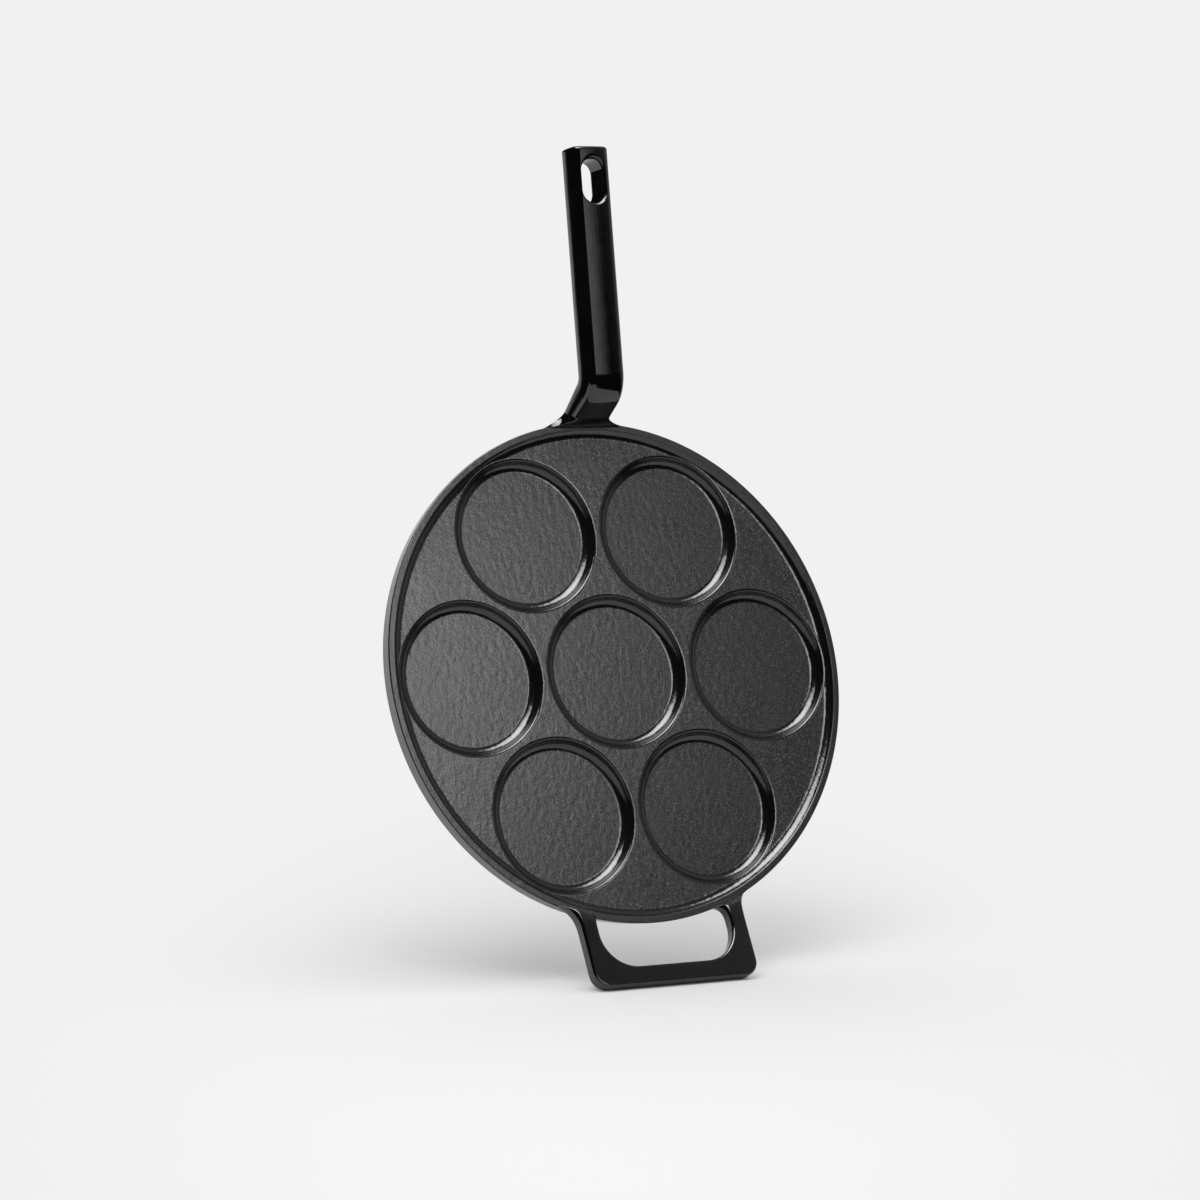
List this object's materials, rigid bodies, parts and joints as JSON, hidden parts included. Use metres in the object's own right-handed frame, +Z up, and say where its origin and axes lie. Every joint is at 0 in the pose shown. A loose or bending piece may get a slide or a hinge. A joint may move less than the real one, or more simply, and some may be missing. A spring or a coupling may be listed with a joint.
{
  "type": "multi-cup pancake pan",
  "caption": "Round enamelled cast-iron pancake pan with shallow round cups inside a raised rim, a bent bar handle with a hang slot, and a loop helper handle opposite.",
  "frame": {"origin": "centre of the flat underside, where the pan rests on the hob", "axes": "+Z up out of the cooking face, +Y along the bar handle towards its tip, +X across the pan"},
  "size_m": [0.2606, 0.4307, 0.0565],
  "materials": {
    "gloss_enamel": "smooth high-gloss black vitreous enamel on cast iron",
    "satin_enamel": "satin near-black vitreous enamel with a fine speckled grain, on cast iron"
  },
  "bodies": {
    "root": {"pan_casting": "gloss_enamel", "cooking_enamel": "satin_enamel", "long_handle": "gloss_enamel", "helper_handle": "gloss_enamel"}
  },
  "joints": []
}
